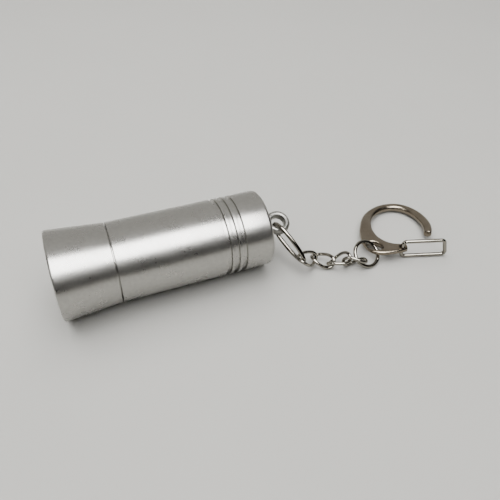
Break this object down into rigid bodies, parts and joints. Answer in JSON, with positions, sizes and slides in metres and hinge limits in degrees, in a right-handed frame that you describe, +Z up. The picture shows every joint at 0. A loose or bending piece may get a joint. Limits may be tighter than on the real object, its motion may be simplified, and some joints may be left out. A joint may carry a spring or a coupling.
{
  "type": "keychain flashlight",
  "caption": "Short round metal pocket torch with a twist head, grooved tail, tail eye, key chain, swivel ring and open key clasp with a wire gate.",
  "frame": {"origin": "middle of the footprint, on the surface that the torch lies on", "axes": "+X from the head towards the tail and the key chain, +Y across, +Z up"},
  "size_m": [0.1182, 0.0348, 0.0253],
  "materials": {
    "satin_aluminium": "satin, fine turning marks",
    "eye_metal": "dark polished plate",
    "nickel": "polished nickel plate, slightly warm",
    "brass": "machined",
    "spring_steel": "drawn wire",
    "reflector": "vacuum metallised",
    "lens_glass": "clear, flat",
    "rubber": "matte black",
    "circuit_board": "solder mask green",
    "led": "phosphor dome",
    "battery_wrap": "shrink sleeve",
    "battery_steel": "plated can"
  },
  "bodies": {
    "barrel": {"barrel_tube": "satin_aluminium", "neck_seal": "rubber", "tail_spring": "spring_steel", "tail_eye": "eye_metal", "eye_washer": "nickel", "eye_nut": "nickel"},
    "battery": {"battery_can": "battery_steel", "battery_sleeve": "battery_wrap", "battery_terminal": "battery_steel"},
    "head": {"head_shell": "satin_aluminium", "lens_seal": "rubber", "front_lens": "lens_glass", "reflector": "reflector", "light_pill": "brass", "driver_board": "circuit_board", "driver_spring": "spring_steel", "emitter_board": "circuit_board", "led_emitter": "led"},
    "long_link_body": {"long_link": "nickel"},
    "chain_link_1_body": {"chain_link_1": "nickel"},
    "chain_link_2_body": {"chain_link_2": "nickel"},
    "chain_link_3_body": {"chain_link_3": "nickel"},
    "chain_link_4_body": {"chain_link_4": "nickel"},
    "jump_ring_body": {"jump_ring": "nickel"},
    "clasp_body": {"clasp": "nickel"},
    "gate_body": {"gate": "nickel"}
  },
  "joints": [
    {"name": "battery_feed", "type": "slide", "parent": "barrel", "child": "battery", "axis": [-0.9997, 0, 0.0225], "range_m": [0, 0.0045]},
    {"name": "head_unscrew", "type": "hinge", "parent": "battery", "child": "head", "pos_m": [-0.04881, 0.00476, 0.01243], "axis": [-0.9997, 0, 0.0225], "range_deg": [0, 1620]},
    {"name": "long_link_swing", "type": "hinge", "parent": "barrel", "child": "long_link_body", "pos_m": [0.00678, 0.00476, 0.01118], "axis": [0.0209, -0.3746, 0.9269], "range_deg": [-30, 30]},
    {"name": "chain_link_1_swing", "type": "hinge", "parent": "long_link_body", "child": "chain_link_1_body", "pos_m": [0.01005, -0.00683, 0.00517], "axis": [0, 0, 1], "range_deg": [-28, 16]},
    {"name": "chain_link_2_swing", "type": "hinge", "parent": "chain_link_1_body", "child": "chain_link_2_body", "pos_m": [0.01477, -0.00645, 0.00205], "axis": [0, 0, 1], "range_deg": [-11, 20]},
    {"name": "chain_link_3_swing", "type": "hinge", "parent": "chain_link_2_body", "child": "chain_link_3_body", "pos_m": [0.01847, -0.00862, 0.00103], "axis": [0, 0, 1], "range_deg": [-22, 6]},
    {"name": "chain_link_4_swing", "type": "hinge", "parent": "chain_link_3_body", "child": "chain_link_4_body", "pos_m": [0.02287, -0.01063, 0.00298], "axis": [0, 0, 1], "range_deg": [-22, 10]},
    {"name": "jump_ring_swing", "type": "hinge", "parent": "chain_link_4_body", "child": "jump_ring_body", "pos_m": [0.02903, -0.01261, 0.00203], "axis": [0, 0, 1], "range_deg": [-20, 15]},
    {"name": "clasp_swing", "type": "hinge", "parent": "jump_ring_body", "child": "clasp_body", "pos_m": [0.0348, -0.0087, 0.0032], "axis": [0.0257, 0.0815, 0.9963], "range_deg": [-35, 16]},
    {"name": "gate_open", "type": "hinge", "parent": "clasp_body", "child": "gate_body", "pos_m": [0.04225, -0.01244, 0.00337], "axis": [0.0257, 0.0815, 0.9963], "range_deg": [-60, 23]}
  ],
  "couplings": [
    {"joint": "head_unscrew", "follows": "battery_feed", "rad_per_m": 6283.2}
  ]
}
